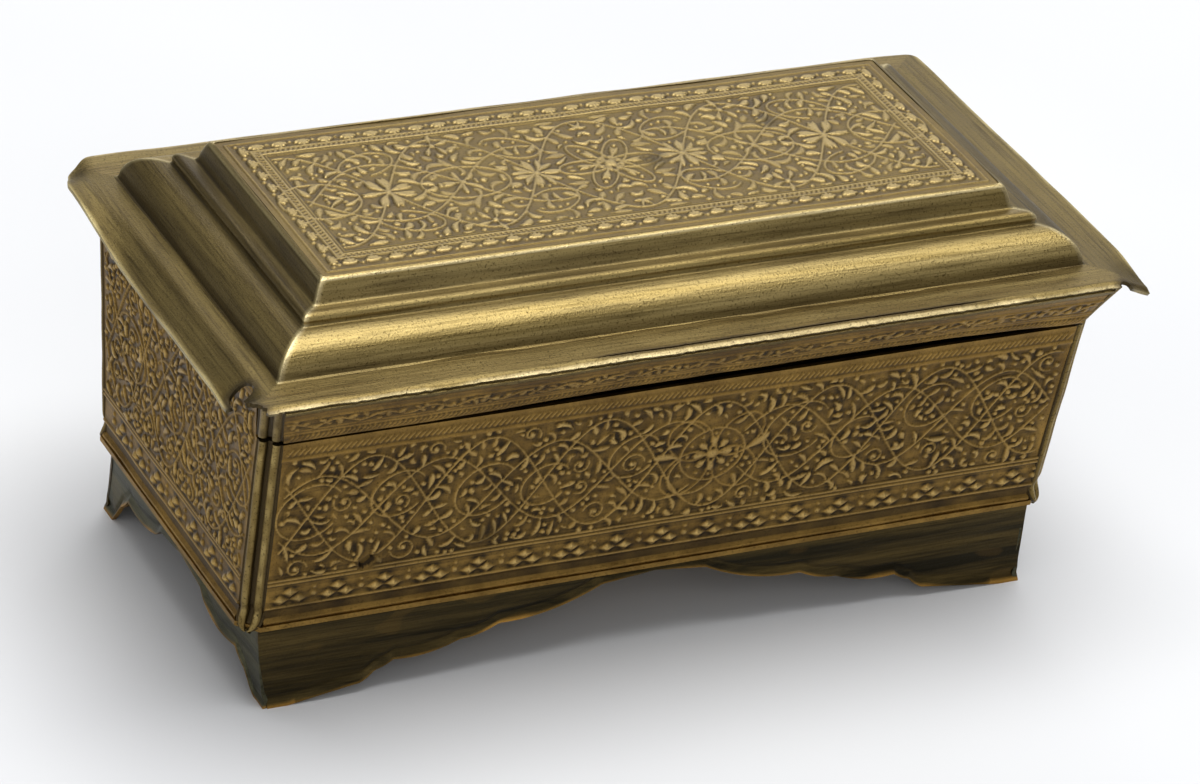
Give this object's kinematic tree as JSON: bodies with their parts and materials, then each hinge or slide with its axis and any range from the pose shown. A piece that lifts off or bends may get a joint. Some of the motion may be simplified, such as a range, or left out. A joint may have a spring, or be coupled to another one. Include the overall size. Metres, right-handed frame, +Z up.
{
  "type": "needle case",
  "caption": "Small stamped-brass casket for needle packets, on bracket feet, with a moulded hinged lid and arabesque relief panels.",
  "frame": {"origin": "on the floor, under the middle of the closed case", "axes": "+X along the case to its right end, -Y towards the front lip, +Z up"},
  "size_m": [0.076, 0.0392, 0.0348],
  "materials": {
    "stamped_brass": "aged, stamped in relief, worn bright on high edges",
    "base_brass": "dark, plain, brushed",
    "plain_brass": "plain rolled sheet",
    "brass_wire": "drawn wire"
  },
  "bodies": {
    "case": {"front_wall": "stamped_brass", "back_wall": "stamped_brass", "left_end_wall": "stamped_brass", "right_end_wall": "stamped_brass", "corner_strip_front_left": "stamped_brass", "corner_strip_front_right": "stamped_brass", "corner_strip_back_left": "stamped_brass", "corner_strip_back_right": "stamped_brass", "floor_plate": "stamped_brass", "base_front": "base_brass", "base_back": "base_brass", "base_left": "base_brass", "base_right": "base_brass", "case_hinge_leaf": "plain_brass", "hinge_pin": "brass_wire", "packet_tray": "plain_brass", "packet_divider_1": "plain_brass", "packet_divider_2": "plain_brass", "packet_divider_3": "plain_brass"},
    "lid": {"lid_cover": "stamped_brass", "lid_front_lip": "stamped_brass", "lip_corner_left": "stamped_brass", "lip_corner_right": "stamped_brass", "lid_hinge_leaf": "plain_brass"}
  },
  "joints": [
    {"name": "lid_hinge", "type": "hinge", "parent": "case", "child": "lid", "pos_m": [0, 0.0184, 0.02812], "axis": [-1, 0, 0], "range_deg": [0, 110]}
  ]
}
